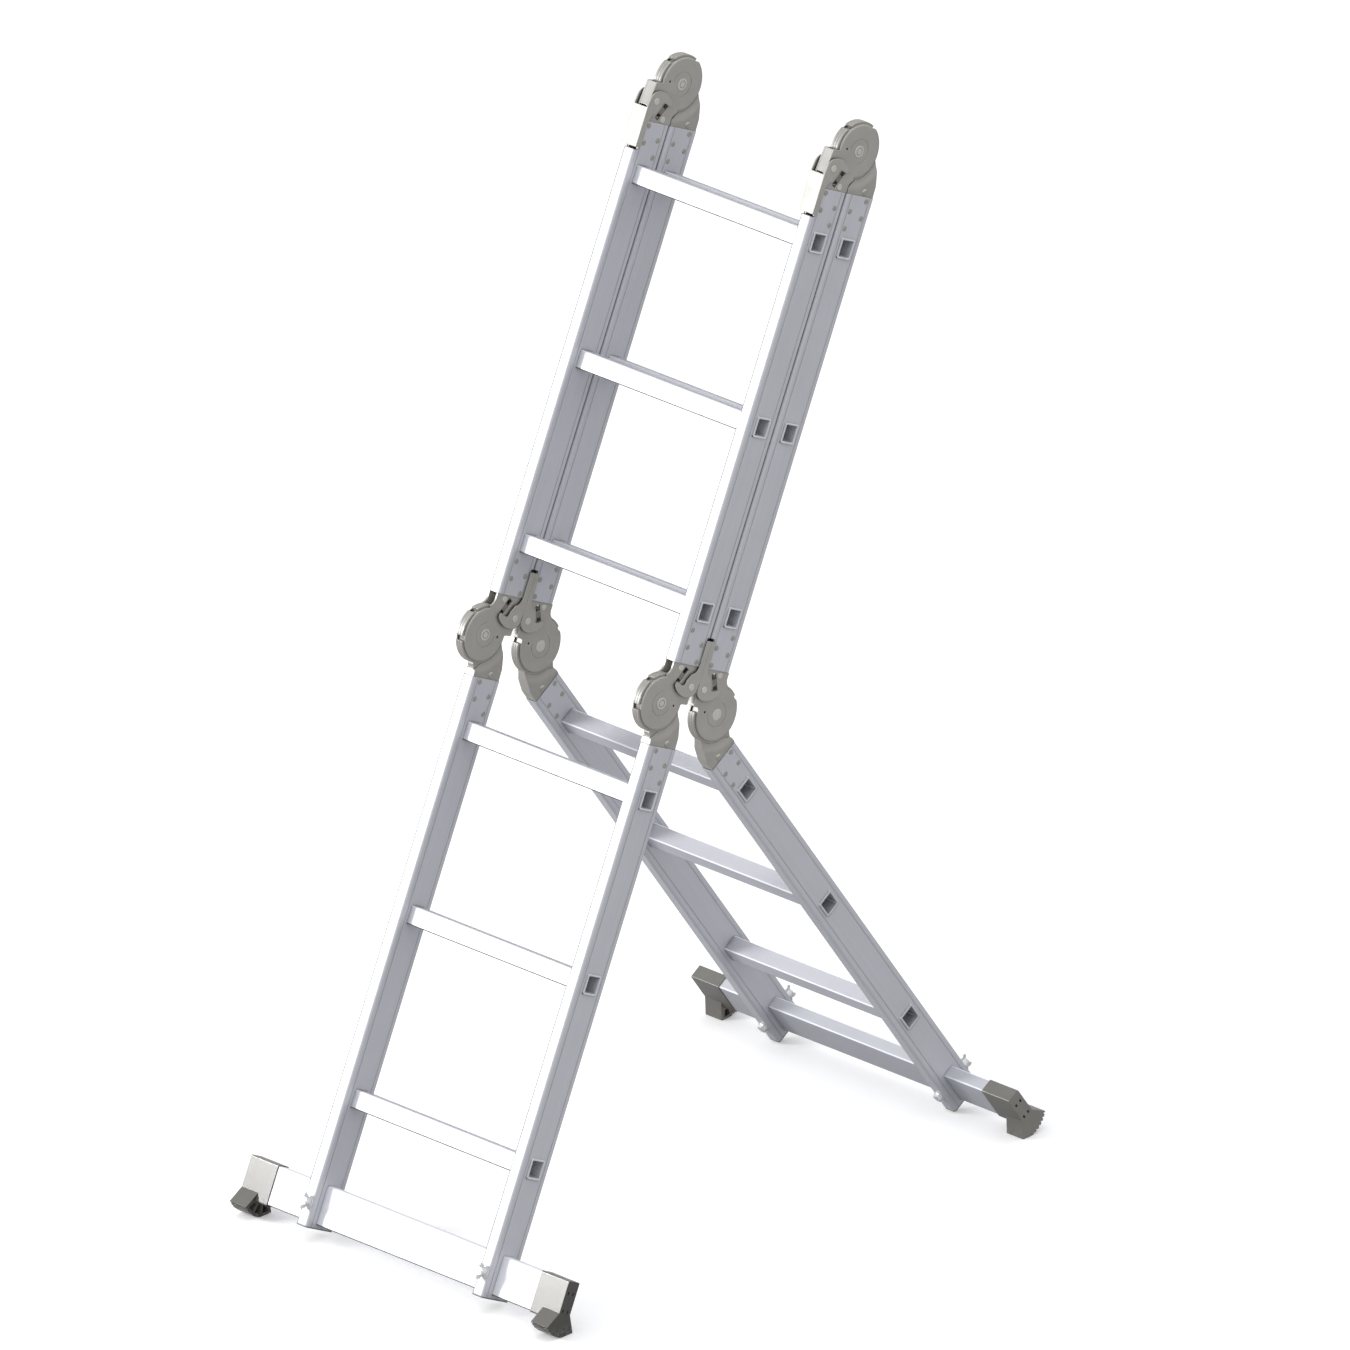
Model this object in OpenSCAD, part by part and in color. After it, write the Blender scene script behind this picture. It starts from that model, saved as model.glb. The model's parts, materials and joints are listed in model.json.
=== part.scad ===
// Multi position ladder: four sections of rungs joined by six locking hinges,
// with a stabiliser bar and two moulded feet under each end section.
// Everything is laid out with the upper sections upright:
//   x across the ladder, y from front to back, z up along the rails,
// and is then leaned back so that all four feet stand on the floor, z = 0.
// Each section is drawn from its lower hinge axis, with its rails at positive y.

/* [Ladder] */
// Distance between the centre lines of the left and right rails
rail_spacing = 366.8; // [300:0.1:420]
// Distance from one rung to the next
rung_pitch = 280; // [260:1:290]
// Number of rungs in each section
rungs_per_section = 3; // [2:1:4]
// Distance from a hinge axis to the nearest rung
first_rung = 142.5; // [136:0.5:160]
// Angle that the lower rear section is swung out from straight
rear_swing = 60; // [35:1:100]

/* [Rails] */
// Rail width across the ladder
rail_width = 22.5; // [20:0.1:30]
// Rail depth, front to back
rail_depth = 58; // [56:0.5:60]
// Rail wall thickness
rail_wall = 1.4; // [1:0.1:2]
// Corner radius of the rail
rail_corner_r = 4; // [2.5:0.1:5]
// Gap between two rails that are folded together
fold_gap = 3; // [2.4:0.1:4]
// Distance from a hinge axis to the end of the rail
rail_end = 63; // [62:0.5:66]
// Distance from a hinge axis to the lower end of the end sections
lower_len = 900; // [850:1:950]

/* [Rungs] */
// Rung size, front to back
rung_depth = 26; // [22:0.5:30]
// Rung height
rung_height = 28; // [24:0.5:32]
// Rung wall thickness
rung_wall = 1.6; // [1.2:0.1:2.2]
// How far the flared rung end stands out of the rail
flare_out = 2.2; // [1:0.1:3]

/* [Hinges] */
// Radius of the inner locking disc
disc_r = 44.3; // [43:0.1:45]
// Half thickness of the inner locking disc
disc_half = 6.6; // [5:0.1:6.6]
// Radius of the pressed disc on the outer plates
plate_r = 40.4; // [38:0.1:41]
// Radius of the pivot pin
pin_r = 6; // [5:0.1:7]
// Direction of the lock bolt slot, from straight across the rail
slot_angle = 61; // [58:1:64]
// Half width of the release lever, outside
lever_half = 14.3; // [14:0.1:15]

/* [Stabilisers] */
// Height of the stabiliser bar
bar_height = 60; // [50:1:60]
// Thickness of the stabiliser bar
bar_depth = 20; // [18:0.5:22]
// Length over the two feet of a stabiliser
bar_span = 663; // [600:1:760]
// Distance from a hinge axis to the centre of the bar
bar_pos = 865; // [845:1:866]
// Radius of the curved sole
sole_r = 40; // [36:1:42]

/* [Hidden] */
$fn = 48;

clearance = 0.05;                       // added to the radius or each side of a hole
pin_fit = 0.02;                         // taken off the radius of pins and rivets
lap = 0.1;                              // overlap that joins touching shapes
plate_gap = 0.1;                        // between a hinge plate and the part beside it
cut_half = 20;                          // half length of cuts through a hinge

rail_x = rail_spacing / 2;              // centre line of the right rails
near = fold_gap / 2;                    // near edge of a rail, from its hinge axis
mid = near + rail_depth / 2;            // middle of the rail depth
far = near + rail_depth;                // far edge of a rail
pivot_y = far + near;                   // the two lower hinge axes, from the top one
top_z = 2 * first_rung + (rungs_per_section - 1) * rung_pitch;  // top hinge axis

plate_out = rail_width / 2 - rail_wall - plate_gap;  // outer face of the hinge plates
plate_in = disc_half + plate_gap;       // inner face of the hinge plates

// Lean: the line through the two sole centres, as [y, z], becomes level
neck = 881;                             // from the hinge axis to where a foot fans out
sole_rise = 3;                          // from the neck up to the centre of the sole
sole_centre = neck - sole_rise;
sole_flat = 1.4;                        // depth of the flat worn on the sole
front_sole = [mid - pivot_y, -sole_centre];
rear_sole = [
  pivot_y - mid * cos(rear_swing) + sole_centre * sin(rear_swing),
  -mid * sin(rear_swing) - sole_centre * cos(rear_swing)
];
lean = atan2(rear_sole[1] - front_sole[1], rear_sole[0] - front_sole[0]);
floor_z = -front_sole[0] * sin(lean) + front_sole[1] * cos(lean) - sole_r + sole_flat;
origin_y = -51.372;                     // brings the origin near the middle of the depth

rail_alu = [0.72, 0.73, 0.76];
light_alu = [0.80, 0.81, 0.84];
hinge_grey = [0.52, 0.51, 0.47];
rivet_grey = [0.60, 0.59, 0.55];
foot_grey = [0.33, 0.32, 0.29];
zinc = [0.78, 0.76, 0.70];

// ---------- placing ----------
module stand() translate([0, origin_y, -floor_z]) rotate([-lean, 0, 0]) children();
module at_front() translate([0, -pivot_y, 0]) children();
// the rear frames are turned about z, which swaps left and right
module at_rear() translate([0, pivot_y, 0]) rotate([0, 0, 180]) children();
module at_rear_swung()
  translate([0, pivot_y, 0]) rotate([rear_swing, 0, 0]) rotate([0, 0, 180]) children();
// the top hinge: outer plates upside down, inner disc upright
module at_top() translate([0, 0, top_z]) rotate([180, 0, 0]) children();
module at_top_folded() translate([0, 0, top_z]) children();
module side(s) translate([s * rail_x, 0, 0]) children();
module pair() for (s = [-1, 1]) side(s) children();

// ---------- helpers ----------
module rounded(width, depth, radius) {
  square([width - 2 * radius, depth], center = true);
  square([width, depth - 2 * radius], center = true);
  for (i = [-1, 1], j = [-1, 1])
    translate([i * (width / 2 - radius), j * (depth / 2 - radius)]) circle(radius);
}
function polar(radius, angle) = radius * [cos(angle), sin(angle)];
function arc(centre, radius, start, end, steps) =
  [for (i = [0:steps]) centre + polar(radius, start + (end - start) * i / steps)];
// a plate in the (y, z) plane, from x0 to x1
module plate(x0, x1)
  translate([x0, 0, 0]) rotate([90, 0, 90]) linear_extrude(height = x1 - x0) children();
module both_plates(x0, x1) {
  plate(x0, x1) children();
  plate(-x1, -x0) children();
}
// a round bar across the ladder, centred on x = 0; place is [y, z]
module cross_bar(place, radius, half)
  translate([-half, place[0], place[1]]) rotate([0, 90, 0]) cylinder(r = radius, h = 2 * half);
// children on both sides at distance x, with their z axis pointing outwards
module both_ends(place, x)
  for (s = [-1, 1]) translate([s * x, place[0], place[1]]) rotate([0, s * 90, 0]) children();
// children at height y, with their z axis along y
module along_y(y) translate([0, y, 0]) rotate([-90, 0, 0]) children();
// children at a distance from the hinge axis, with their z axis along the lock slot
module along_slot(distance) rotate([slot_angle, 0, 0]) along_y(distance) children();
// a bar that points away from the hinge axis
module radial_bar(angle, start, length, half_width)
  rotate(angle) translate([start, -half_width]) square([length, 2 * half_width]);

// ---------- rivet places, [y, z] from the hinge axis ----------
rail_rivet_r = 2.4;
arm_rivet_r = 3;
outer_arm_rivet = [18, 56.75];
inner_arm_rivet = [37.25, -56.5];
lever_pin = [46.75, 32];
lever_pin_r = 3;
near_rivet_y = 17;
far_rivet_y = 44.25;
// four rivets in the end of a rail; dir is 1 for a rail above the axis, -1 below
function end_rivets(lever_end, dir) =
  let (first = lever_end ? far_rivet_y : near_rivet_y,
       second = lever_end ? near_rivet_y : far_rivet_y)
  [[first, dir * 69], [first, dir * 95], [second, dir * 88], [second, dir * 114]];
module rivet_holes(places)
  for (p = places) cross_bar(p, rail_rivet_r + clearance, rail_width);

// ---------- rails ----------
notch_depth = 6.5;                      // cut in the rail's edge behind a release lever
notch_length = 44;
notch_cut = 20;                         // depth of the cutting block
bolt_r = 4;                             // stabiliser bolt

module rail_profile() difference() {
  rounded(rail_width, rail_depth, rail_corner_r);
  rounded(rail_width - 2 * rail_wall, rail_depth - 2 * rail_wall, rail_corner_r - rail_wall);
  // grooves along the outside of the side walls
  for (i = [-1, 1], j = [-1, 1])
    translate([i * rail_width / 2, j * rail_depth / 3]) square([1.0, 1.3], center = true);
}
// a hole across the rail for a rung or bar
module box_hole(z, depth, height)
  translate([0, mid, z])
    cube([rail_width + 2, depth + 2 * clearance, height + 2 * clearance], center = true);
module rung_holes(levels) for (z = levels) box_hole(z, rung_depth, rung_height);
module bolt_hole() translate([0, 0, -bar_pos]) along_y(0) cylinder(r = bolt_r + clearance, h = 80);
module lever_notch(y, z)
  translate([-rail_width, y, z]) cube([2 * rail_width, notch_cut, notch_length + 1]);
function rungs_up() = [for (i = [0:rungs_per_section - 1]) first_rung + i * rung_pitch];
function rungs_down() = [for (z = rungs_up()) -z];

module lower_rail() difference() {
  translate([0, mid, -lower_len]) linear_extrude(height = lower_len - rail_end) rail_profile();
  rung_holes(rungs_down());
  rivet_holes(end_rivets(false, -1));
  box_hole(-bar_pos, bar_depth, bar_height);
  bolt_hole();
}
module upper_rail(top_lever) difference() {
  translate([0, mid, rail_end]) linear_extrude(height = top_z - 2 * rail_end) rail_profile();
  rung_holes(rungs_up());
  rivet_holes(end_rivets(true, 1));
  // the upper end mirrors the lower one, front to back and top to bottom
  rivet_holes([for (p = end_rivets(true, 1)) [2 * mid - p[0], top_z - p[1]]]);
  lever_notch(far - notch_depth, rail_end - 1);
  if (top_lever) lever_notch(near + notch_depth - notch_cut, top_z - rail_end - notch_length);
}

// ---------- rungs ----------
module rung_bore()
  rounded(rung_depth - 2 * rung_wall, rung_height - 2 * rung_wall, 0.8);
module rung_profile() difference() {
  rounded(rung_depth, rung_height, 2);
  rung_bore();
  // tread grooves, above and below
  for (k = [-4:4], j = [-1, 1])
    translate([k * 2.5, j * rung_height / 2]) square([1.1, 1.0], center = true);
}
module rung() {
  half = rail_x + rail_width / 2 + 0.1;
  plate(-half, half) rung_profile();
  // flared ends
  both_plates(half - 0.05, half + flare_out) difference() {
    rounded(rung_depth + 2.6, rung_height + 3.4, 3);
    rung_bore();
  }
}
module rung_set(levels) for (z = levels) translate([0, mid, z]) rung();

// ---------- hinge arms inside the rails ----------
arm_in = 7.2;                           // inner face of the arms
arm_inset = 4.1;                        // from the rail's edge, clear of its rounded corner
arm_end = 121;                          // end of the arms, from the hinge axis
arm_start = rail_end - 4;               // the arms start just outside the rail
arm_corner = 8;                         // height of the corner cut from the arm's end
end_groove = [6, 2.6];                  // grooves in the edge that meets the rail

// ---------- hinge: outer plates with the lock slot ----------
module outer_arm() difference() {
  polygon(concat(
    [[43.5, 4.5], [53.5, 5], [57.9, 41], [57.0, 52], [56.2, rail_end]],
    [[0.6, rail_end], [0.6, 56]],
    arc([-12.5, 55], 13.2, 0, -62, 8),
    [[-4, 20], [0, 0], [30, 0]]));
  for (y = [10.5, 39]) translate([y, rail_end]) square(end_groove, center = true);
  translate([50.5, rail_end]) square([4, 1.6], center = true);
}
// pressed disc with a rounded rim and a ring groove in its outer face
module pressed_disc() {
  thick = plate_out - plate_in;
  groove_floor = thick - 0.35;
  translate([plate_in, 0, 0]) rotate([0, 90, 0]) rotate_extrude($fn = 96) polygon([
    [0, 0], [plate_r, 0], [plate_r, thick - 1.9], [plate_r - 0.25, thick - 1.15],
    [plate_r - 0.9, thick - 0.5], [plate_r - 2.0, thick],
    [18.9, thick], [18.9, groove_floor], [18.1, groove_floor], [18.1, thick], [0, thick]]);
}
module outer_half() difference() {
  union() {
    pressed_disc();
    plate(plate_in, plate_out) outer_arm();
    plate(arm_in, plate_out) difference() {
      translate([near + arm_inset, arm_start])
        square([far - 7 - near - arm_inset, arm_end - arm_start]);
      translate([-1, arm_end - arm_corner]) square([20, 20]);
    }
  }
  plate(0, cut_half) radial_bar(slot_angle, 38.5, 27.5, 4.5);
  // small hole beside the pivot
  cross_bar([26.5, 0], 1.8, cut_half);
  cross_bar([0, 0], pin_r, cut_half);
  cross_bar(outer_arm_rivet, arm_rivet_r, cut_half);
  cross_bar(lever_pin, lever_pin_r, cut_half);
  rivet_holes(end_rivets(true, 1));
}
module hinge_outer() {
  outer_half();
  mirror([1, 0, 0]) outer_half();
  // web that joins the two plates on the far side
  plate(-plate_in - 0.3, plate_in + 0.3)
    polygon([[51.0, 5.2], [53.4, 5.2], [57.7, 40.8], [55.2, 41.4]]);
}

// ---------- hinge: inner locking disc and arm ----------
inner_arm_half = 5.8;                   // half thickness of the arm between the cheeks
dish = 15;                              // how far the cheeks' slope reaches from the disc
// outline [y, z] that the arm and its cheeks share, down the far edge and along the rail
inner_arm_edge = [[43, -8], [50, -22], [57, -45], [57.5, -rail_end], [near, -rail_end]];

module inner_arm() polygon(concat(
  inner_arm_edge,
  [[near, -55]],
  arc([-9.2, -54.6], 10.7, 0, 50, 6),
  [[-4, -20], [0, 0], [30, 0]]));
// locking disc: three laminations, parted by two grooves in the rim
module locking_disc() {
  // half of the section [radius, x], from the middle lamination outwards
  rim = [
    [disc_r, 2.0], [disc_r - 1.2, 2.0], [disc_r - 1.2, 2.4], [disc_r, 2.4],
    [disc_r, disc_half - 0.6], [disc_r - 0.6, disc_half], [0, disc_half]];
  rotate([0, 90, 0]) rotate_extrude($fn = 96)
    polygon(concat([for (i = [len(rim) - 1:-1:0]) [rim[i][0], -rim[i][1]]], rim));
}
// cutter that slopes the cheeks down to the disc in a shallow dish
module cheek_dish() {
  slope_start = disc_r + 0.2;
  top = plate_out - disc_half + 0.5;
  both_ends([0, 0], disc_half) rotate_extrude($fn = 96) polygon(concat(
    [[0, 0]],
    [for (i = [0:5]) let (t = i / 5)
      [slope_start + dish * t, (plate_out - disc_half + 0.05) * t * t * (3 - 2 * t)]],
    [[slope_start + dish, top], [0, top]]));
}
// notches: directions of the lock notches in the rim
// lever_end: the rivets and the cut corner of the arm suit a rail with a release lever
module hinge_inner(notches, lever_end) difference() {
  corner_y = lever_end ? -2 : 38;
  corner_width = lever_end ? 20 : 30;
  union() {
    locking_disc();
    plate(-inner_arm_half, inner_arm_half) inner_arm();
    // cheeks that bring the arm to the width of the rail's inside
    both_plates(inner_arm_half - lap, plate_out) difference() {
      polygon(concat(inner_arm_edge, [[near, -54], [9, -46.5], [20, -36]]));
      circle(disc_r + 0.1, $fn = 96);
      for (y = [22, 48]) translate([y, -rail_end]) square(end_groove, center = true);
    }
    both_plates(arm_in, plate_out) difference() {
      translate([near + arm_inset, -arm_end])
        square([rail_depth - 2 * arm_inset, arm_end - arm_start]);
      translate([corner_y, arm_corner - arm_end - 20]) square([corner_width, 20]);
    }
  }
  cheek_dish();
  for (angle = notches) plate(-cut_half, cut_half) radial_bar(angle, 37.6, 12, 4.2);
  cross_bar([0, 0], pin_r + clearance, cut_half);
  cross_bar(inner_arm_rivet, arm_rivet_r, cut_half);
  rivet_holes(end_rivets(lever_end, -1));
  // hollow behind the cheeks
  translate([-arm_in, 12, -rail_end - 30]) cube([2 * arm_in, 34, 30]);
}

// ---------- pivot pins and release levers ----------
head_height = 0.85;                     // heads of the pivot pins and arm rivets
lever_sheet = 2;                        // thickness of the lever's sides
lever_top = 103;                        // end of the grip, from the hinge axis

module pivot_pin() {
  cross_bar([0, 0], pin_r - pin_fit, plate_out + lap);
  // ringed head on the right
  translate([plate_out, 0, 0]) rotate([0, 90, 0]) rotate_extrude() polygon([
    [0, 0], [9, 0], [9, head_height - 0.3], [8.6, head_height], [5.8, head_height],
    [5.8, head_height - 0.6], [4.6, head_height - 0.6], [4.6, head_height], [0, head_height]]);
  // plain head on the left
  translate([-plate_out, 0, 0]) rotate([0, -90, 0]) rotate_extrude() polygon([
    [0, 0], [9, 0], [8.7, head_height * 0.5], [7.2, head_height * 0.85], [0, head_height]]);
}
// side outline of the release lever: hooked round head and a straight grip
// back_y: the lever's back, away from the rail
module lever_outline(back_y) polygon(concat(
  arc([40, 50], 34, 216, 278, 14),
  arc([44.2, 32.6], 16.2, 285, 350, 8),
  [[back_y, 42], [back_y, lever_top], [51.6, lever_top], [51.6, 66]],
  arc([38, 64], 13.6, -8, -78, 8),
  arc([27.5, 38.3], 6.2, 10, -100, 8),
  [[20, 34], [14.5, 36]]));
module release_lever(back_y, web) difference() {
  union() {
    both_plates(lever_half - lever_sheet, lever_half) lever_outline(back_y);
    plate(-lever_half + 1, lever_half - 1)
      translate([back_y - web, 43]) square([web, lever_top - 43]);
  }
  cross_bar(lever_pin, lever_pin_r + clearance, cut_half);
}
module lower_release_lever() release_lever(back_y = pivot_y - 0.15, web = 1.25);

// ---------- lock bolts and springs ----------
bolt_inner = 45.5;                      // ends of the lock bolt, from the hinge axis
bolt_outer = 56.4;
coils = 8;
coil_pitch = 1.8;
coil_steps = 6;                         // points in the section for each turn

module lock_bolt() {
  plate(-plate_out + 0.4, plate_out - 0.4)
    radial_bar(slot_angle, bolt_inner, bolt_outer - bolt_inner, 4.4);
  // spring peg
  along_slot(bolt_outer - 0.5) cylinder(r = 1.5, h = 4.5);
}
// compression spring, drawn as a ribbed sleeve with one rib for each turn
module lock_spring() along_slot(bolt_outer + 0.3) rotate_extrude($fn = 32) polygon(concat(
  [for (i = [0:coils * coil_steps])
    [2.55 + 0.42 * sin(360 / coil_steps * i), i * coil_pitch / coil_steps]],
  [[1.9, coils * coil_pitch], [1.9, 0]]));

// ---------- rivets ----------
module rail_rivet(place) {
  cross_bar(place, rail_rivet_r - pin_fit, rail_width / 2 + lap);
  both_ends(place, rail_width / 2) cylinder(r1 = 4, r2 = 3.2, h = 0.9);
}
module arm_rivet(place) {
  cross_bar(place, arm_rivet_r - pin_fit, plate_out + lap);
  both_ends(place, plate_out) cylinder(r1 = 5, r2 = 4.3, h = head_height);
}
module lever_rivet() {
  cross_bar(lever_pin, lever_pin_r - pin_fit, lever_half + 0.2);
  both_ends(lever_pin, lever_half + 0.1) cylinder(r1 = 5.5, r2 = 4.6, h = 1.1);
  // spacers between the hinge plates and the lever's sides
  both_ends(lever_pin, plate_out + 0.05)
    cylinder(r = 5.2, h = lever_half - lever_sheet - plate_out - 0.15);
}
module outer_end_rivets() {
  for (p = end_rivets(true, 1)) rail_rivet(p);
  arm_rivet(outer_arm_rivet);
  lever_rivet();
}
module inner_end_rivets(lever_end) {
  for (p = end_rivets(lever_end, -1)) rail_rivet(p);
  arm_rivet(inner_arm_rivet);
}

// ---------- stabiliser ----------
bolt_tail = 11;                         // bolt end beyond the rail's near edge
washer = 1.2;
// outline of a wing of the wing nut: [distance from the bolt's axis, height]
wing_outline = [
  [4.6, 1.6], [8.2, 1.8], [11.4, 6.2], [12.2, 9.8], [11.2, 12.4],
  [8.6, 12.8], [6.6, 10.4], [5.2, 8.4], [4.6, 7]];

module stabiliser_bar() difference() {
  translate([0, mid, -bar_pos]) plate(-bar_span / 2 + 3, bar_span / 2 - 3) difference() {
    rounded(bar_depth, bar_height, 2);
    rounded(bar_depth - 3, bar_height - 3, 1);
  }
  pair() bolt_hole();
}
module stabiliser_bolt() translate([0, 0, -bar_pos]) {
  along_y(near - bolt_tail) cylinder(r = bolt_r, h = rail_depth + bolt_tail + 0.2);
  // washer under the wing nut
  along_y(near - washer - 0.05) cylinder(r = 10, h = washer);
  // hexagon head on the far side, over a washer
  along_y(far + 0.05) cylinder(r = 8.5, h = washer);
  along_y(far + washer) cylinder(r = 7.2, h = 5.3, $fn = 6);
}
module wing_nut()
  translate([0, near - washer - 0.15, -bar_pos]) rotate([90, 0, 0]) rotate([0, 0, 90])
    difference() {
      union() {
        cylinder(r = 7.2, h = 1.6);
        cylinder(r1 = 7, r2 = 5.6, h = 8.5);
        // two rounded wings, swept up and out
        for (s = [-1, 1])
          rotate([90, 0, 0]) translate([0, 0, -1.4]) linear_extrude(height = 2.8)
            polygon([for (p = wing_outline) [s * p[0], p[1]]]);
      }
      translate([0, 0, -1]) cylinder(r = bolt_r + clearance, h = 20);
    }

// ---------- feet ----------
foot_centre = [0, sole_rise];           // centre of the sole's curve, from the neck
neck_half = 10.6;
teeth = 9;                              // notches across the sole
tooth_depth = 2.4;
half_sole = 44;                         // half the angle that the sole spans
stand_half = 9.5;                       // no notches within this angle of the floor contact
pocket_half = 10.5;                     // half the angle of a hollow
// corners of a notch: [angle from its middle, share of its depth]
notch_corners = [[-1.9, 0], [-1.6, 1], [1.6, 1], [1.9, 0]];

function sole_point(angle, inset = 0) = foot_centre + polar(sole_r - inset, angle);
// stand_angle: from the middle of the sole to where it stands
function sole_points(stand_angle) = concat(
  [sole_point(-90 - half_sole)],
  [for (i = [0:teeth - 1])
    let (angle = -90 - half_sole + 2 * half_sole * (i + 0.5) / teeth,
         depth = abs(angle + 90 - stand_angle) < stand_half ? 0 : tooth_depth)
    for (c = notch_corners) sole_point(angle + c[0], c[1] * depth)],
  [sole_point(-90 + half_sole)]);
module fan_outline(stand_angle) difference() {
  polygon(concat(
    [[neck_half, 0], [neck_half, 14], [-neck_half, 14], [-neck_half, 0]],
    sole_points(stand_angle)));
  // flat worn on the sole where it stands
  translate(foot_centre) rotate(stand_angle)
    translate([-40, -sole_r - 20 + sole_flat]) square([80, 20]);
}
module fan_pocket(angle) polygon(concat(
  [foot_centre + polar(11, angle)],
  arc(foot_centre, sole_r - 5.2, angle - pocket_half, angle + pocket_half, 6)));
// s: 1 for the foot at positive x in its section's frame, -1 for the other
module foot(s, stand_angle) {
  end_x = bar_span / 2;
  mirror([s < 0 ? 1 : 0, 0, 0]) difference() {
    union() {
      translate([0, mid, -bar_pos]) plate(end_x - 56.5, end_x)
        rounded(bar_depth + 3.2, bar_height + 3, 2.2);
      translate([0, mid, -neck]) plate(end_x - 34, end_x) fan_outline(stand_angle);
    }
    // pocket for the bar
    translate([0, mid, -bar_pos]) plate(end_x - 60, end_x - 2.9)
      square([bar_depth + 0.1, bar_height + 0.1], center = true);
    // hollows between the ribs, open towards the rail
    for (k = [-1, 0, 1])
      translate([0, mid, -neck]) plate(end_x - 40, end_x - 3.2) intersection() {
        fan_pocket(-90 + k * 26);
        translate([-40, -60]) square([80, 42.3]);
      }
    // small windows in the end face
    for (z = [-852, -879], y = [-5, 5])
      translate([end_x, mid + y, z]) cube([8, 3.4, 5.2], center = true);
  }
}

// ---------- end caps ----------
module end_cap() {
  translate([0, mid, -lower_len - 1.6]) linear_extrude(height = 1.55)
    rounded(rail_width - 0.3, rail_depth - 0.3, rail_corner_r - 0.15);
  // plug inside the rail
  translate([0, mid, -lower_len - lap]) linear_extrude(height = 4)
    rounded(rail_width - 2 * rail_wall - 0.2, rail_depth - 2 * rail_wall - 0.2, 2.4);
}

// ---------- nodes: s is -1 for left, 1 for right ----------
module lower_front_rail(s) color(rail_alu) stand() at_front() side(s) lower_rail();
module upper_front_rail(s) color(rail_alu) stand() at_front() side(s) upper_rail(true);
module upper_rear_rail(s) color(rail_alu) stand() at_rear() side(-s) upper_rail(false);
module lower_rear_rail(s) color(rail_alu) stand() at_rear_swung() side(-s) lower_rail();

module lower_front_rungs() color(light_alu) stand() at_front() rung_set(rungs_down());
module upper_front_rungs() color(light_alu) stand() at_front() rung_set(rungs_up());
module upper_rear_rungs() color(light_alu) stand() at_rear() rung_set(rungs_up());
module lower_rear_rungs() color(light_alu) stand() at_rear_swung() rung_set(rungs_down());

module front_hinge_outer(s) color(hinge_grey) stand() at_front() side(s) hinge_outer();
module top_hinge_outer(s) color(hinge_grey) stand() at_top() side(s) hinge_outer();
module rear_hinge_outer(s) color(hinge_grey) stand() at_rear() side(-s) hinge_outer();

// in each disc one notch lies in line with the slot: straight, folded or swung out
module front_hinge_inner(s) color(hinge_grey * 0.92) stand() at_front() side(s)
  hinge_inner([slot_angle, 135, 197], false);
module top_hinge_inner(s) color(hinge_grey * 0.92) stand() at_top_folded() side(s)
  hinge_inner([61, 135, slot_angle + 180], true);
module rear_hinge_inner(s) color(hinge_grey * 0.92) stand() at_rear_swung() side(-s)
  hinge_inner([61, slot_angle + rear_swing, 197], false);

module front_hinge_pins() color(rivet_grey) stand() at_front() pair() pivot_pin();
module top_hinge_pins() color(rivet_grey) stand() at_top() pair() pivot_pin();
module rear_hinge_pins() color(rivet_grey) stand() at_rear() pair() pivot_pin();

module front_release_lever(s) color(hinge_grey * 1.08) stand() at_front() side(s)
  lower_release_lever();
module top_release_lever(s) color(hinge_grey * 1.08) stand() at_top() side(s)
  release_lever(back_y = pivot_y + 1.1, web = 1.9);
module rear_release_lever(s) color(hinge_grey * 1.08) stand() at_rear() side(-s)
  lower_release_lever();

module front_lock_bolt(s) color(rivet_grey * 0.9) stand() at_front() side(s) lock_bolt();
module top_lock_bolt(s) color(rivet_grey * 0.9) stand() at_top() side(s) lock_bolt();
module rear_lock_bolt(s) color(rivet_grey * 0.9) stand() at_rear() side(-s) lock_bolt();
module front_lock_springs() color(zinc) stand() at_front() pair() lock_spring();
module top_lock_springs() color(zinc) stand() at_top() pair() lock_spring();
module rear_lock_springs() color(zinc) stand() at_rear() pair() lock_spring();

module lower_front_rivets() color(rivet_grey) stand() at_front() pair() inner_end_rivets(false);
module upper_front_rivets() color(rivet_grey) stand() {
  at_front() pair() outer_end_rivets();
  at_top() pair() outer_end_rivets();
}
module upper_rear_rivets() color(rivet_grey) stand() {
  at_rear() pair() outer_end_rivets();
  at_top_folded() pair() inner_end_rivets(true);
}
module lower_rear_rivets() color(rivet_grey) stand() at_rear_swung() pair()
  inner_end_rivets(false);

module front_stabiliser_bar() color(light_alu) stand() at_front() stabiliser_bar();
module rear_stabiliser_bar() color(light_alu) stand() at_rear_swung() stabiliser_bar();
module front_foot(s) color(foot_grey) stand() at_front() foot(s, lean);
module rear_foot(s) color(foot_grey) stand() at_rear_swung() foot(-s, rear_swing - lean);
module front_stabiliser_bolts() color(zinc) stand() at_front() pair() stabiliser_bolt();
module rear_stabiliser_bolts() color(zinc) stand() at_rear_swung() pair() stabiliser_bolt();
module front_wing_nut(s) color(zinc) stand() at_front() side(s) wing_nut();
module rear_wing_nut(s) color(zinc) stand() at_rear_swung() side(-s) wing_nut();
module front_rail_end_caps() color(foot_grey) stand() at_front() pair() end_cap();
module rear_rail_end_caps() color(foot_grey) stand() at_rear_swung() pair() end_cap();

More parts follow.
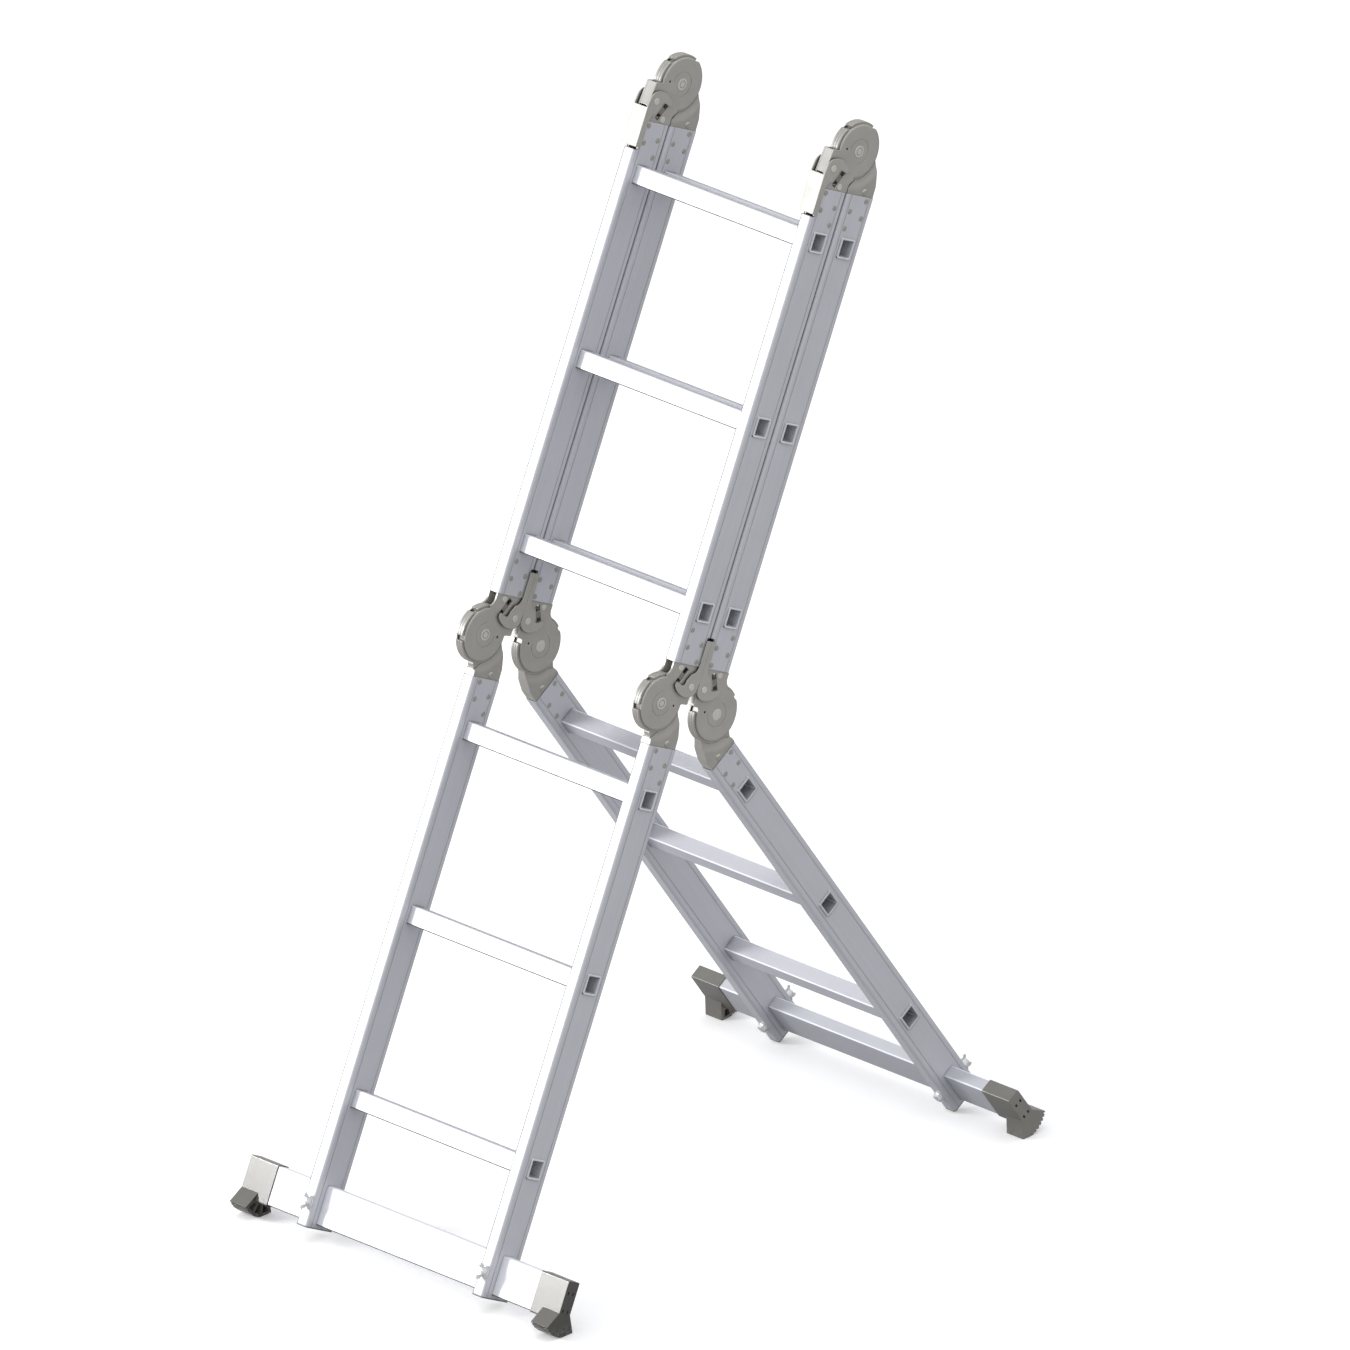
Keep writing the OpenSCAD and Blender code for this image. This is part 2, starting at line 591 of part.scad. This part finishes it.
lower_front_rail(-1);  // lower_front_rail_left
lower_front_rail(1);  // lower_front_rail_right
upper_front_rail(-1);  // upper_front_rail_left
upper_front_rail(1);  // upper_front_rail_right
upper_rear_rail(-1);  // upper_rear_rail_left
upper_rear_rail(1);  // upper_rear_rail_right
lower_rear_rail(-1);  // lower_rear_rail_left
lower_rear_rail(1);  // lower_rear_rail_right
lower_front_rungs();
upper_front_rungs();
upper_rear_rungs();
lower_rear_rungs();
front_hinge_outer(-1);  // front_hinge_outer_left
front_hinge_outer(1);  // front_hinge_outer_right
top_hinge_outer(-1);  // top_hinge_outer_left
top_hinge_outer(1);  // top_hinge_outer_right
rear_hinge_outer(-1);  // rear_hinge_outer_left
rear_hinge_outer(1);  // rear_hinge_outer_right
front_hinge_inner(-1);  // front_hinge_inner_left
front_hinge_inner(1);  // front_hinge_inner_right
top_hinge_inner(-1);  // top_hinge_inner_left
top_hinge_inner(1);  // top_hinge_inner_right
rear_hinge_inner(-1);  // rear_hinge_inner_left
rear_hinge_inner(1);  // rear_hinge_inner_right
front_hinge_pins();
top_hinge_pins();
rear_hinge_pins();
front_release_lever(-1);  // front_release_lever_left
front_release_lever(1);  // front_release_lever_right
top_release_lever(-1);  // top_release_lever_left
top_release_lever(1);  // top_release_lever_right
rear_release_lever(-1);  // rear_release_lever_left
rear_release_lever(1);  // rear_release_lever_right
front_lock_bolt(-1);  // front_lock_bolt_left
front_lock_bolt(1);  // front_lock_bolt_right
top_lock_bolt(-1);  // top_lock_bolt_left
top_lock_bolt(1);  // top_lock_bolt_right
rear_lock_bolt(-1);  // rear_lock_bolt_left
rear_lock_bolt(1);  // rear_lock_bolt_right
front_lock_springs();
top_lock_springs();
rear_lock_springs();
lower_front_rivets();
upper_front_rivets();
upper_rear_rivets();
lower_rear_rivets();
front_stabiliser_bar();
rear_stabiliser_bar();
front_foot(-1);  // front_foot_left
front_foot(1);  // front_foot_right
rear_foot(-1);  // rear_foot_left
rear_foot(1);  // rear_foot_right
front_stabiliser_bolts();
rear_stabiliser_bolts();
front_wing_nut(-1);  // front_wing_nut_left
front_wing_nut(1);  // front_wing_nut_right
rear_wing_nut(-1);  // rear_wing_nut_left
rear_wing_nut(1);  // rear_wing_nut_right
front_rail_end_caps();
rear_rail_end_caps();
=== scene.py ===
import json
import math
from functools import cached_property

import bpy
from mathutils import Matrix, Vector


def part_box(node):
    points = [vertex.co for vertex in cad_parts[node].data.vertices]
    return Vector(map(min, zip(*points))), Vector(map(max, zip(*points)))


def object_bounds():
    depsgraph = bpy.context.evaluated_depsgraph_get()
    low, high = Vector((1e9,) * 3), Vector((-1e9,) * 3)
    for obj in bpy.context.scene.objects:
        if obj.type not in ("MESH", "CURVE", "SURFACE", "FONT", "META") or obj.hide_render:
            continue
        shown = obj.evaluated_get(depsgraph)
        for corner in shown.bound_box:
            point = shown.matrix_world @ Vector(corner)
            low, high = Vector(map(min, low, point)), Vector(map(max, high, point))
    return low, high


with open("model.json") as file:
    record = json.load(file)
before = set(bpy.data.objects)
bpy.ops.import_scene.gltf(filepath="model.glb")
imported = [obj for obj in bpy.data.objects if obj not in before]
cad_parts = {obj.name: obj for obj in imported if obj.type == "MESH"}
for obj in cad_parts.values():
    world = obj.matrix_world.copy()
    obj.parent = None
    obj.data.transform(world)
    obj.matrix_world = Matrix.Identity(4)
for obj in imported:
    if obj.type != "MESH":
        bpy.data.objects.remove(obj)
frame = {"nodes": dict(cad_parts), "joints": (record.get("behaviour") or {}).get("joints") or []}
cad_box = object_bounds()
scene = bpy.context.scene

# ---------------------------------------------------------------- ladder directions
joints = {joint["name"]: joint for joint in frame["joints"]}
fold_front, fold_top, fold_rear = FOLDS = [
    Vector(joints[name]["pos_m"]) for name in ("fold_front", "fold_top", "fold_rear")]
lower_middle = (fold_front + fold_rear) / 2
lower_middle.x = 0

cross = Vector((1, 0, 0))
up = (fold_top - lower_middle).normalized()         # along the upper rails
depth = (fold_rear - fold_front).normalized()       # front to back, square to up
rear_turn = Matrix.Rotation(math.radians(60), 3, 'X')
rear_up = (rear_turn @ up).normalized()             # the same pair for the lower rear section
rear_depth = (rear_turn @ depth).normalized()


# ---------------------------------------------------------------- material builder
NOISE_SPAN = (0.3, 0.7)     # the range that holds most of a noise texture's values


def shade(colour, factor):
    """A colour made lighter or darker, held at or below 1."""
    return tuple(min(1.0, c * factor) for c in colour)


class Shader:
    """Builds one node material; most methods add nodes and return an output socket."""

    def __init__(self, name):
        self.material = bpy.data.materials.new(name)
        self.material.use_nodes = True
        self.tree = self.material.node_tree
        self.tree.nodes.clear()
        output = self.node('OutputMaterial')
        self.surface = self.node('BsdfPrincipled')
        self.put(output.inputs[0], self.surface.outputs[0])
        self.place = self.node('TexCoord').outputs['Object']

    @cached_property
    def facing(self):
        """The surface normal, from one shared node."""
        return self.node('NewGeometry').outputs['Normal']

    def node(self, kind, **settings):
        node = self.tree.nodes.new('ShaderNode' + kind)
        for key, value in settings.items():
            setattr(node, key, value)
        return node

    def put(self, socket, value):
        """Links a socket, or sets a plain value."""
        if isinstance(value, bpy.types.NodeSocket):
            self.tree.links.new(value, socket)
        else:
            socket.default_value = value

    def math(self, operation, first, second=0.0, clamp=False):
        node = self.node('Math', operation=operation, use_clamp=clamp)
        self.put(node.inputs[0], first)
        self.put(node.inputs[1], second)
        return node.outputs[0]

    def add(self, first, second, clamp=False):
        return self.math('ADD', first, second, clamp)

    def times(self, value, by):
        return self.math('MULTIPLY', value, by)

    def larger(self, first, second):
        return self.math('MAXIMUM', first, second)

    def dot(self, vector, direction):
        node = self.node('VectorMath', operation='DOT_PRODUCT')
        self.put(node.inputs[0], vector)
        self.put(node.inputs[1], direction)
        return node.outputs['Value']

    def stretch(self, vector, factors):
        node = self.node('VectorMath', operation='MULTIPLY')
        self.put(node.inputs[0], vector)
        node.inputs[1].default_value = factors
        return node.outputs[0]

    def tinted(self, tint, brightness):
        node = self.node('VectorMath', operation='SCALE')
        node.inputs[0].default_value = tint
        self.put(node.inputs['Scale'], brightness)
        return node.outputs[0]

    def local(self, along, through):
        """Position as (across, through, along) in a section's own directions."""
        node = self.node('CombineXYZ')
        for socket, direction in zip(node.inputs, (cross, through, along)):
            self.put(socket, self.dot(self.place, direction))
        return node.outputs[0]

    def noise(self, vector, scale, detail=3.0, rough=0.5):
        node = self.node('TexNoise')
        self.put(node.inputs['Vector'], vector)
        node.inputs['Scale'].default_value = scale
        node.inputs['Detail'].default_value = detail
        node.inputs['Roughness'].default_value = rough
        return node.outputs[0]

    def ramp(self, value, span=NOISE_SPAN, to=(0.0, 1.0)):
        """Maps span to the range `to`, clamped; span may run downwards."""
        node = self.node('MapRange')
        for socket, number in zip(node.inputs, (value, *span, *to)):
            self.put(socket, number)
        return node.outputs[0]

    def mix(self, factor, first, second, blend='MIX'):
        node = self.node('Mix', data_type='RGBA', blend_type=blend)
        self.put(node.inputs[0], factor)
        for index, colour in ((6, first), (7, second)):
            self.put(node.inputs[index], (*colour, 1.0) if isinstance(colour, tuple) else colour)
        return node.outputs[2]

    def edge(self, radius):
        """A rounded-edge normal, and a mask of how near a sharp edge the point is."""
        bevel = self.node('Bevel', samples=4)
        bevel.inputs['Radius'].default_value = radius
        normal = bevel.outputs[0]
        return normal, self.ramp(self.dot(normal, self.facing), span=(0.995, 0.86))

    def corner(self, along, through):
        """1 on the rounded corners between the faces of an extrusion, 0 on its flats."""
        squareness = [self.math('ABSOLUTE', self.dot(self.facing, direction))
                      for direction in (along, through, cross)]
        nearest = self.larger(self.larger(squareness[0], squareness[1]), squareness[2])
        return self.ramp(nearest, span=(0.997, 0.95))

    def near_axes(self, reach, soft=0.001):
        """1 within reach of any of the three hinge axes, 0 outside."""
        nearest = None
        for fold in FOLDS:
            node = self.node('VectorMath', operation='DISTANCE')
            self.put(node.inputs[0], self.stretch(self.place, (0, 1, 1)))
            node.inputs[1].default_value = (0, fold.y, fold.z)
            distance = node.outputs['Value']
            nearest = self.math('MINIMUM', nearest, distance) if nearest else distance
        return self.ramp(nearest, span=(reach + soft, reach - soft))

    def openness(self, reach):
        """1 in the open, falling to 0 in notches and tight gaps."""
        node = self.node('AmbientOcclusion', samples=5, only_local=False)
        node.inputs['Distance'].default_value = reach
        return node.outputs['AO']

    def bump(self, height, strength, distance=0.0002, normal=None):
        node = self.node('Bump')
        node.inputs['Strength'].default_value = strength
        node.inputs['Distance'].default_value = distance
        self.put(node.inputs['Height'], height)
        if normal is not None:
            self.put(node.inputs['Normal'], normal)
        return node.outputs[0]

    def finish(self, **inputs):
        """Fills the surface inputs, named with _ for a space, and returns the material."""
        for key, value in inputs.items():
            if isinstance(value, tuple):
                value = (*value, 1.0)
            self.put(self.surface.inputs[key.replace('_', ' ')], value)
        return self.material


# ---------------------------------------------------------------- material kinds
def aluminium(name, along, through, tint, shaded, lit, shaded_side=None, across=False, rung=False):
    """Satin extruded aluminium: die lines along the length, soft blotches, scuffs, and rougher
    corners painted with shade and highlight.

    along, through: the section's directions; across: the piece's length runs along X.
    shaded, lit: brightness of the corners that face shaded_side (default: down the section),
    a painted shade, and of the others, a painted highlight where lit is above 1.
    rung: painted shade over a wider reach near other pieces.
    """
    mat = Shader(name)
    place = mat.local(along, through)

    def lines(fine, long):
        """Noise space drawn out along the piece's length."""
        return mat.stretch(place, (long, fine, fine) if across else (fine, fine, long))

    fine = mat.noise(lines(fine=900, long=6), scale=1.0, detail=3.0, rough=0.6)
    broad = mat.noise(lines(fine=160, long=1.6), scale=1.0, detail=2.0)
    cloud = mat.noise(place, scale=14.0, detail=4.0, rough=0.55)
    speck = mat.noise(place, scale=420.0, detail=2.0)
    normal, edge = mat.edge(radius=0.0026)

    # brightness varies a little either side of 1
    vary = mat.add(mat.ramp(fine, to=(-0.022, 0.022)), mat.ramp(broad, to=(-0.018, 0.018)))
    vary = mat.add(vary, mat.ramp(cloud, to=(-0.016, 0.016)))
    base = mat.tinted(tint, mat.add(vary, 1.0))

    # painted shade near other pieces, deepest in the narrow gaps between folded sections
    air = mat.openness(reach=0.024 if rung else 0.006)
    if rung:
        painted_shade = mat.ramp(air, span=(0.20, 0.62), to=(0.10, 1.0))
    else:
        painted_shade = mat.ramp(air, span=(0.25, 0.85), to=(0.76, 1.0))
        painted_shade = mat.times(painted_shade, by=mat.ramp(air, span=(0.06, 0.32), to=(0.35, 1.0)))
    base = mat.mix(1.0, base, painted_shade, blend='MULTIPLY')

    # corners: painted shade where they turn to shaded_side, with a thin painted shade line along
    # their edges, and the lit tone elsewhere, a painted highlight where it is above 1
    corner_band = mat.larger(mat.times(edge, by=0.8), mat.corner(along, through))
    if shaded_side is None:
        shaded_side = -along
    face = mat.dot(mat.facing, shaded_side)
    # a thin painted shade line on the edges that turn to shaded_side
    shade_line = mat.times(mat.ramp(mat.dot(normal, shaded_side), span=(0.10, 0.36)),
                      by=mat.ramp(face, span=(0.6, 0.3)))
    turned = mat.larger(mat.ramp(face, span=(-0.05, 0.12)), shade_line)
    corner_band = mat.larger(corner_band, shade_line)
    base = mat.mix(corner_band, base, mat.mix(turned, shade(tint, lit), shade(tint, shaded)))

    # small scuffs
    scuff_noise = mat.noise(mat.stretch(place, (1.0, 1.0, 0.25)), scale=95.0, detail=5.0, rough=0.7)
    scuff = mat.ramp(scuff_noise, span=(0.66, 0.74))
    base = mat.mix(mat.times(scuff, by=0.22), base, shade(tint, 0.82))

    rough = mat.add(mat.ramp(fine, span=(0.25, 0.75), to=(0.41, 0.53)),
                    mat.ramp(cloud, to=(-0.04, 0.05)))
    rough = mat.add(rough, mat.times(corner_band, by=0.16))
    height = mat.add(mat.times(fine, by=0.7), mat.times(speck, by=0.3))
    return mat.finish(Base_Color=base,
                      Metallic=mat.ramp(corner_band, span=(0.0, 1.0), to=(0.42, 0.21)),
                      Roughness=rough,
                      Specular_IOR_Level=mat.ramp(shade_line, span=(0.0, 1.0), to=(0.5, 0.0)),
                      Normal=mat.bump(height, strength=0.10, normal=normal))


def coated(name, tint, rough):
    """Pressed steel under a thin grey coating: orange peel, handling marks, worn edges, a painted
    highlight on front faces and painted shade in recesses.
    """
    bare_edge = (0.62, 0.61, 0.57)
    front_highlight_colour = (0.50, 0.505, 0.51)
    mat = Shader(name)
    peel = mat.noise(mat.place, scale=900.0, detail=2.0)
    cloud = mat.noise(mat.place, scale=38.0, detail=5.0, rough=0.6)
    fleck = mat.noise(mat.place, scale=260.0, detail=3.0, rough=0.6)
    normal, edge = mat.edge(radius=0.0015)
    vary = mat.add(mat.ramp(cloud, to=(0.955, 1.045)), mat.ramp(fleck, to=(-0.02, 0.02)))
    base = mat.tinted(tint, vary)

    # patchy wear on the edges
    patches = mat.noise(mat.place, scale=120.0, detail=4.0, rough=0.65)
    rub = mat.times(edge, by=mat.ramp(patches, span=(0.38, 0.62), to=(0.15, 0.8)))
    base = mat.mix(rub, base, bare_edge)

    # faces that look straight to the front are painted paler: a painted highlight
    front = mat.ramp(mat.dot(mat.facing, -depth), span=(0.90, 0.985), to=(0.0, 0.30))
    base = mat.mix(front, base, front_highlight_colour)

    # pale handling marks, then painted shade in recesses
    mark_noise = mat.noise(mat.stretch(mat.place, (1, 1, 3)), scale=150.0, detail=6.0, rough=0.7)
    mark = mat.ramp(mark_noise, span=(0.64, 0.72))
    base = mat.mix(mat.times(mark, by=0.25), base, shade(tint, 1.18))
    # painted shade in notches and tight gaps
    painted_shade = mat.ramp(mat.openness(reach=0.007), span=(0.22, 0.72), to=(0.10, 1.0))
    base = mat.mix(1.0, base, painted_shade, blend='MULTIPLY')

    roughness = mat.add(mat.ramp(cloud, to=(rough - 0.05, rough + 0.06)), mat.times(rub, by=-0.12))
    metallic = mat.add(mat.times(rub, by=0.5), 0.30, clamp=True)
    height = mat.add(mat.times(peel, by=0.6), mat.times(fleck, by=0.4))
    return mat.finish(Base_Color=base, Metallic=metallic, Roughness=roughness,
                      Normal=mat.bump(height, strength=0.12, normal=normal))


def steel(name, tint, rough, metal, edge_radius=0.0005, bright=None, ring=False):
    """Bare or plated steel: turned micro lines, faint tarnish, bright edges.

    bright: a brightness factor close to the hinge axes; ring: painted shade in a groove around each
    axis.
    """
    mat = Shader(name)
    turned = mat.stretch(mat.place, (700, 1500, 1500))
    swirl = mat.noise(turned, scale=1.0, detail=2.0, rough=0.6)
    cloud = mat.noise(mat.place, scale=210.0, detail=4.0, rough=0.6)
    normal, edge = mat.edge(edge_radius)
    vary = mat.ramp(cloud, to=(0.92, 1.07))
    if bright:
        near = mat.near_axes(reach=0.0655)
        vary = mat.times(vary, by=mat.ramp(near, span=(0.0, 1.0), to=(1.0, bright)))
    base = mat.tinted(tint, vary)
    base = mat.mix(mat.times(edge, by=0.5), base, shade(tint, 1.3))
    if ring:
        # painted shade in the groove round each hinge pin, darker where the groove is tight
        groove = mat.math('SUBTRACT', mat.near_axes(reach=0.0060, soft=0.0003),
                          mat.near_axes(reach=0.0044, soft=0.0003))
        groove_shade = mat.ramp(mat.openness(reach=0.0016), span=(0.95, 0.55))
        base = mat.mix(mat.times(groove, by=groove_shade), base, shade(tint, 0.35))
    tarnish = mat.ramp(mat.noise(mat.place, scale=330.0, detail=5.0, rough=0.7), span=(0.58, 0.72))
    base = mat.mix(mat.times(tarnish, by=0.3), base, shade(tint, 0.7))
    roughness = mat.ramp(swirl, span=(0.25, 0.75), to=(rough - 0.06, rough + 0.1))
    return mat.finish(Base_Color=base, Metallic=metal, Roughness=roughness,
                      Normal=mat.bump(swirl, strength=0.10, distance=0.00015, normal=normal))


def plastic(name, tint, rough=0.55, shine=0.5, end_shading=1.0, glint=None):
    """Moulded plastic: fine grain, paler edges as a painted highlight, dust towards the floor.

    end_shading: brightness factor of the faces across X, painted light and shade; glint: direction
    of the edge given a painted highlight.
    """
    glint_colour = (0.80, 0.79, 0.76)
    dust = (0.33, 0.31, 0.27)
    mat = Shader(name)
    cells = mat.node('TexVoronoi')
    mat.put(cells.inputs['Vector'], mat.place)
    cells.inputs['Scale'].default_value = 1500.0
    peel = mat.noise(mat.place, scale=700.0, detail=3.0, rough=0.55)
    cloud = mat.noise(mat.place, scale=45.0, detail=4.0, rough=0.6)
    normal, edge = mat.edge(radius=0.0008)
    vary = mat.add(mat.ramp(cloud, to=(0.95, 1.05)), mat.ramp(peel, to=(-0.02, 0.02)))
    # faces across X made lighter or darker: painted light and shade
    endness = mat.math('ABSOLUTE', mat.dot(mat.facing, cross))
    vary = mat.times(vary, by=mat.ramp(endness, span=(0.6, 0.98), to=(1.0, end_shading)))
    base = mat.tinted(tint, vary)
    # paler edges: a painted highlight
    base = mat.mix(mat.times(edge, by=0.35), base, shade(tint, 1.7))
    # a painted highlight on the edges that turn to glint
    if glint is not None:
        glint_mask = mat.times(mat.ramp(mat.dot(normal, glint), span=(0.84, 0.95)),
                           by=mat.times(edge, by=1.0))
        base = mat.mix(mat.times(glint_mask, by=0.8), base, glint_colour)

    # patchy dust over the lowest 22 mm
    split = mat.node('SeparateXYZ')
    mat.put(split.inputs[0], mat.place)
    patches = mat.noise(mat.place, scale=160.0, detail=5.0, rough=0.65)
    low = mat.times(mat.ramp(split.outputs[2], span=(0.022, 0.0)),
                    by=mat.ramp(patches, span=(0.4, 0.65)))
    base = mat.mix(mat.times(low, by=0.36), base, dust)

    roughness = mat.add(mat.ramp(peel, to=(rough - 0.015, rough + 0.025)), mat.times(low, by=0.15))
    height = mat.add(mat.times(cells.outputs[0], by=0.5), mat.times(peel, by=0.5))
    return mat.finish(Base_Color=base, Roughness=roughness, Specular_IOR_Level=shine,
                      Normal=mat.bump(height, strength=0.06, normal=normal))


def studio_floor(name, tint, bounce):
    """Matt floor: tint is what the camera sees, bounce what it throws back on the ladder."""
    mat = Shader(name)
    cloud = mat.noise(mat.place, scale=3.0)
    fine = mat.noise(mat.place, scale=900.0, rough=0.6)
    colour = mat.tinted(tint, mat.ramp(cloud, to=(0.995, 1.005)))
    camera_ray = mat.node('LightPath').outputs['Is Camera Ray']
    return mat.finish(Base_Color=mat.mix(camera_ray, bounce, colour),
                      Roughness=0.7, Specular_IOR_Level=0.1,
                      Emission_Color=(1.0, 1.0, 1.0),
                      Emission_Strength=mat.times(camera_ray, by=0.16),
                      Normal=mat.bump(fine, strength=0.02))


# ---------------------------------------------------------------- materials of the pieces
# aluminium tints: the rail tint is set darker than the rung and bar tints as painted shade on the
# rail sides, and the rear rung and rear bar tints are darker copies of the front ones, painted
# shade
RAIL = (0.590, 0.596, 0.632)
RUNG = (0.800, 0.808, 0.850)
REAR_RUNG_SHADED = (0.600, 0.606, 0.648)
BAR = (0.860, 0.868, 0.910)
REAR_BAR_SHADED = (0.56, 0.57, 0.61)
HINGE = (0.405, 0.396, 0.360)

materials = {
    'rail': aluminium('rail_aluminium', up, depth, RAIL, shaded=0.30, lit=0.92, shaded_side=-cross),
    'rail_rear': aluminium('rear_rail_aluminium', rear_up, rear_depth, RAIL,
                           shaded=0.42, lit=0.90, shaded_side=-cross),
    'rung': aluminium('rung_aluminium', up, depth, RUNG,
                      shaded=0.16, lit=0.95, across=True, rung=True),
    # the rear rung and rear bar corners use lit above 1: a painted highlight along their edges
    'rung_rear': aluminium('rear_rung_aluminium_shaded', rear_up, rear_depth, REAR_RUNG_SHADED,
                           shaded=0.35, lit=1.5, across=True, rung=True),
    'bar': aluminium('bar_aluminium', up, depth, BAR, shaded=0.16, lit=0.95, across=True),
    'bar_rear': aluminium('rear_bar_aluminium_shaded', rear_up, rear_depth, REAR_BAR_SHADED,
                          shaded=0.45, lit=1.6, across=True),
    'hinge_outer': coated('hinge_plate_coating', HINGE, rough=0.35),
    'hinge_inner': coated('hinge_disc_coating', shade(HINGE, 0.90), rough=0.42),
    'lever': coated('lever_coating', shade(HINGE, 1.03), rough=0.44),
    'pin': steel('pivot_pin_steel', (0.60, 0.59, 0.54), rough=0.42, metal=0.35, ring=True),
    'rivet': steel('rivet_steel', (0.36, 0.355, 0.31), rough=0.42, metal=0.4, bright=1.75),
    'lock_bolt': steel('lock_bolt_steel', (0.24, 0.235, 0.21), rough=0.40, metal=0.5),
    'spring': steel('spring_steel', (0.55, 0.55, 0.56), rough=0.25, metal=0.95),
    'zinc': steel('zinc_plate', (0.74, 0.745, 0.75), rough=0.34, metal=0.5, edge_radius=0.0007),
    # the rear feet use a paler copy of the foot plastic, painted light, with brighter end faces and
    # a glint edge, painted highlight; the front feet's end faces are darkened, painted shade
    'foot': plastic('foot_plastic', (0.110, 0.106, 0.092), rough=0.22, shine=1.0, end_shading=0.42),
    'foot_rear': plastic('rear_foot_plastic', (0.140, 0.136, 0.121), rough=0.30, shine=0.8,
                         end_shading=1.35, glint=(rear_up - rear_depth).normalized()),
    'end_cap': plastic('end_cap_plastic', (0.17, 0.165, 0.145)),
}

# (part of a piece's name, material); the first match counts
NAME_MATCHES = (
    ('rail_end_caps', 'end_cap'), ('_rail_', 'rail'), ('rungs', 'rung'),
    ('hinge_outer', 'hinge_outer'), ('hinge_inner', 'hinge_inner'), ('hinge_pins', 'pin'),
    ('release_lever', 'lever'), ('lock_bolt', 'lock_bolt'), ('springs', 'spring'),
    ('rivets', 'rivet'), ('stabiliser_bar', 'bar'), ('foot', 'foot'),
    ('bolts', 'zinc'), ('wing_nut', 'zinc'),
)


def material_for(name):
    rear = name.startswith(('lower_rear', 'rear_stabiliser', 'rear_foot'))
    for part, key in NAME_MATCHES:
        if part in name:
            return materials[key + '_rear' if rear and key + '_rear' in materials else key]
    return materials['rail']


for name, piece in frame["nodes"].items():
    piece.data.materials.clear()
    piece.data.materials.append(material_for(name))

# ---------------------------------------------------------------- floor and world
bpy.ops.mesh.primitive_plane_add(size=60, location=(0, 0, -0.0004))
floor = bpy.context.object
floor.name = 'floor'
floor.data.materials.append(
    studio_floor('floor_paint', tint=(0.95, 0.95, 0.95), bounce=(0.42, 0.42, 0.43)))

# the world is soft grey as light and plain white to the camera
world = bpy.data.worlds.new('studio')
scene.world = world
world.use_nodes = True
tree = world.node_tree
background = tree.nodes['Background']
seen = tree.nodes.new('ShaderNodeMix')
seen.data_type = 'RGBA'
seen.inputs[6].default_value = (0.8775, 0.882, 0.90, 1)
seen.inputs[7].default_value = (1.0, 1.0, 1.0, 1)
light_path = tree.nodes.new('ShaderNodeLightPath')
tree.links.new(light_path.outputs['Is Camera Ray'], seen.inputs[0])
tree.links.new(seen.outputs[2], background.inputs[0])
background.inputs[1].default_value = 1.0


# ---------------------------------------------------------------- lights
def area(name, place, aim_height, side, power, colour=(1, 1, 1)):
    """A square area light aimed at a point above the origin."""
    data = bpy.data.lights.new(name, 'AREA')
    data.shape = 'RECTANGLE'
    data.size = data.size_y = side
    data.energy = power
    data.color = colour
    light = bpy.data.objects.new(name, data)
    scene.collection.objects.link(light)
    light.visible_camera = False
    light.location = place
    aim = Vector((0, 0, aim_height)) - Vector(place)
    light.rotation_euler = aim.to_track_quat('-Z', 'Y').to_euler()


area('key', place=(-3.3, -3.52, 2.06), aim_height=0.8, side=1.5, power=165,
     colour=(1.0, 0.995, 0.985))
area('fill', place=(4.5, -0.5, 2.2), aim_height=0.8, side=3.0, power=14)
area('top', place=(0.4, -0.6, 5.2), aim_height=0.6, side=3.6, power=34)


# ---------------------------------------------------------------- camera
FRAME_WIDTH = 1.9553882     # width of the view at the ladder
PIN_TO_CENTRE_RIGHT = 0.01882966    # from the front hinge pin's +X end to the view centre
PIN_TO_CENTRE_UP = 0.04128042


def ladder_direction(x, y, z):
    """A unit vector from parts across, front to back and along the upper rails."""
    return (cross * x + depth * y + up * z).normalized()


view_right = ladder_direction(0.6968, 0.6560, 0.2905)
view_up = ladder_direction(-0.2703, -0.1330, 0.9541)
view_up = (view_up - view_right * view_up.dot(view_right)).normalized()
view_back = view_right.cross(view_up).normalized()

pin_end = fold_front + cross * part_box('front_hinge_pins')[1].x
centre = pin_end + view_right * PIN_TO_CENTRE_RIGHT + view_up * PIN_TO_CENTRE_UP
# slide along the view to the depth of the ladder's middle
centre = centre + view_back * ((cad_box[0] + cad_box[1]) / 2 - centre).dot(view_back)

# a very long lens from far away gives a nearly parallel view
camera_data = bpy.data.cameras.new('camera')
camera_data.type = 'PERSP'
camera_data.sensor_width = 36.0
camera_data.lens = 1600.0
camera_data.clip_start = 1.0
camera_data.clip_end = 400
distance = FRAME_WIDTH * camera_data.lens / camera_data.sensor_width
camera = bpy.data.objects.new('camera', camera_data)
scene.collection.objects.link(camera)
pose = Matrix((view_right, view_up, view_back)).transposed().to_4x4()
pose.translation = centre + view_back * distance
camera.matrix_world = pose
scene.camera = camera

scene.view_settings.view_transform = 'Standard'
scene.view_settings.look = 'None'
scene.view_settings.exposure = 0.0
scene.view_settings.gamma = 1.0
